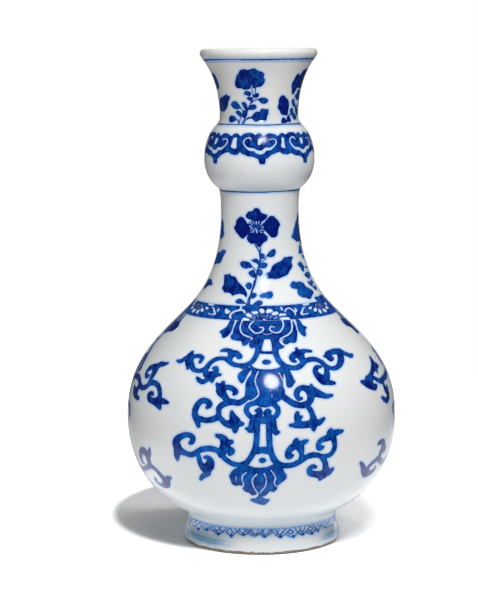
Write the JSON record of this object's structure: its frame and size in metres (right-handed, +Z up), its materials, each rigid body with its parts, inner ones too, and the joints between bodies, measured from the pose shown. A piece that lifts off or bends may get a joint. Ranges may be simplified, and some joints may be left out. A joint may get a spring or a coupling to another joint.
{
  "type": "bottle vase",
  "caption": "Blue-and-white porcelain bottle vase: flared mouth over a round bulb, slim neck, globular body painted with pendant scrolls, and a splayed foot.",
  "frame": {"origin": "centre of the flat edge that the foot stands on", "axes": "+Z up along the vase's axis from the foot to the lip; -Y faces the picture's viewer and +X is to the right in the picture"},
  "size_m": [0.137, 0.137, 0.25],
  "materials": {
    "painted_porcelain": "clear glossy glaze over cobalt painting",
    "foot_porcelain": "glossy glaze, bare speckled resting edge",
    "luting_slip": "bare fired slip inside, under the glaze outside"
  },
  "bodies": {
    "root": {"foot_ring": "foot_porcelain", "slip_foot": "luting_slip", "lower_body": "painted_porcelain", "slip_equator": "luting_slip", "upper_body": "painted_porcelain", "slip_shoulder": "luting_slip", "neck": "painted_porcelain", "slip_neck": "luting_slip", "bulb": "painted_porcelain", "slip_bulb": "luting_slip", "mouth": "painted_porcelain"}
  },
  "joints": []
}
